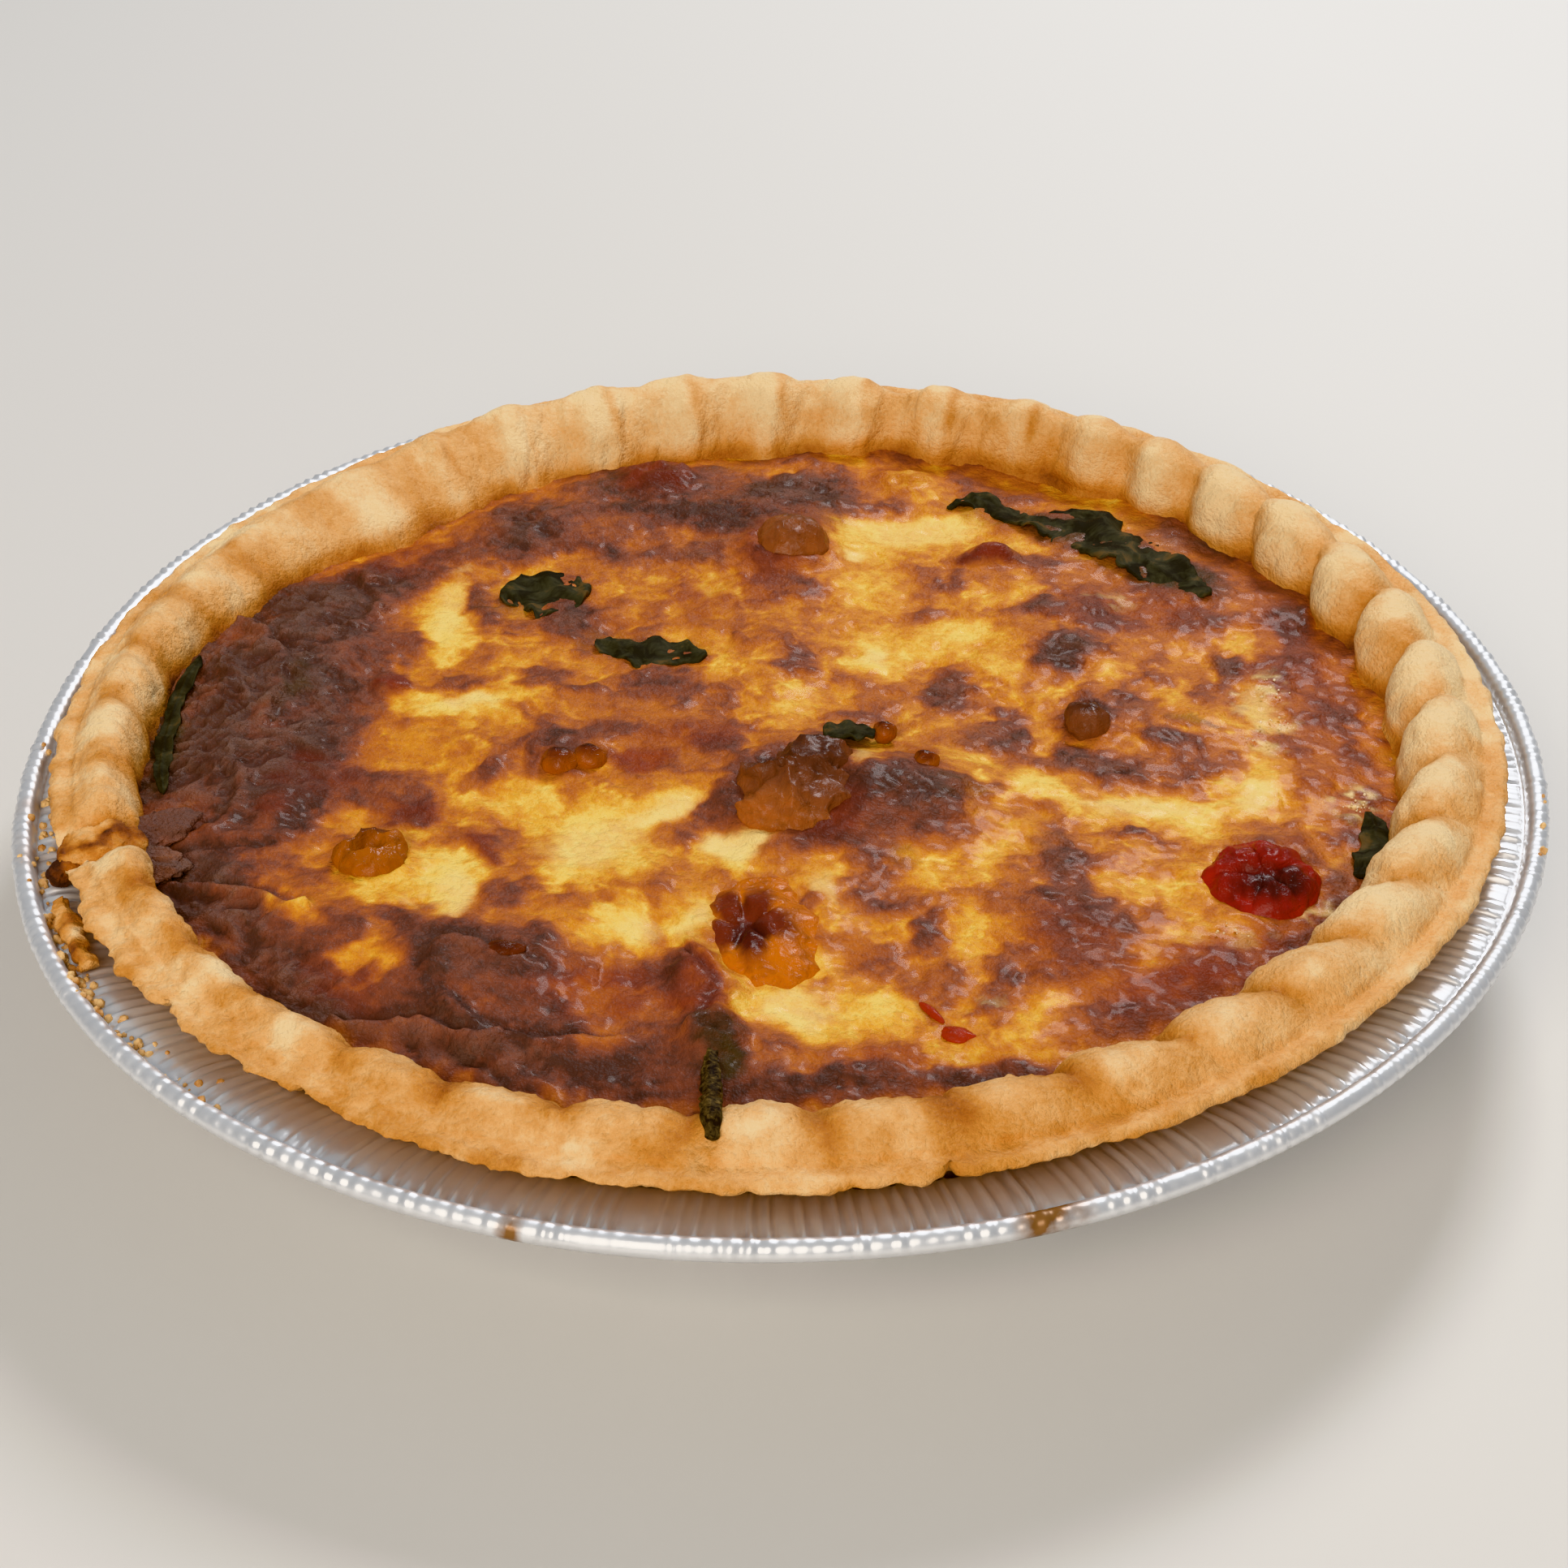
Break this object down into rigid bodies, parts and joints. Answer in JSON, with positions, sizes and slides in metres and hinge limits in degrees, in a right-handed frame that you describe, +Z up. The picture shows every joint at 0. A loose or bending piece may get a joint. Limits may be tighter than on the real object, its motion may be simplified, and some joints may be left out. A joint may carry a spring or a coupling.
{
  "type": "quiche",
  "caption": "Round vegetable quiche with a crimped pastry crust and a browned egg filling with tomatoes and spinach, baked in its own fluted foil tin.",
  "frame": {"origin": "centre of the tin's flat base, on the surface that it stands on", "axes": "+Z up through the filling; -Y is the side nearest the viewer, whose crust carries the stalk; +X is to the right of that view"},
  "size_m": [0.239, 0.2436, 0.0414],
  "materials": {
    "foil": "thin rolled foil, fluted, bright",
    "crust": "golden baked shortcrust, dry and slightly rough",
    "custard": "baked egg and cheese, browned in patches, slightly greasy",
    "tomato_red": "wet wrinkled tomato skin, deep red",
    "tomato_orange": "wet sunken tomato, orange with a dark red middle",
    "tomato_brown": "browned tomato skin, wet",
    "spinach": "dark dried spinach leaf",
    "stem": "dark dried stalk"
  },
  "bodies": {
    "root": {"foil_tin": "foil", "pastry_shell": "crust", "filling": "custard", "red_tomato": "tomato_red", "orange_tomato": "tomato_orange", "browned_tomato": "tomato_brown", "back_tomato": "tomato_brown", "tomato_bead": "tomato_brown", "tomato_curl": "tomato_orange", "leaf_left": "spinach", "leaf_strip": "spinach", "leaf_back": "spinach", "leaf_centre": "spinach", "leaf_right": "spinach", "leaf_crust": "spinach", "stem": "stem", "crust_flake": "crust"}
  },
  "joints": []
}
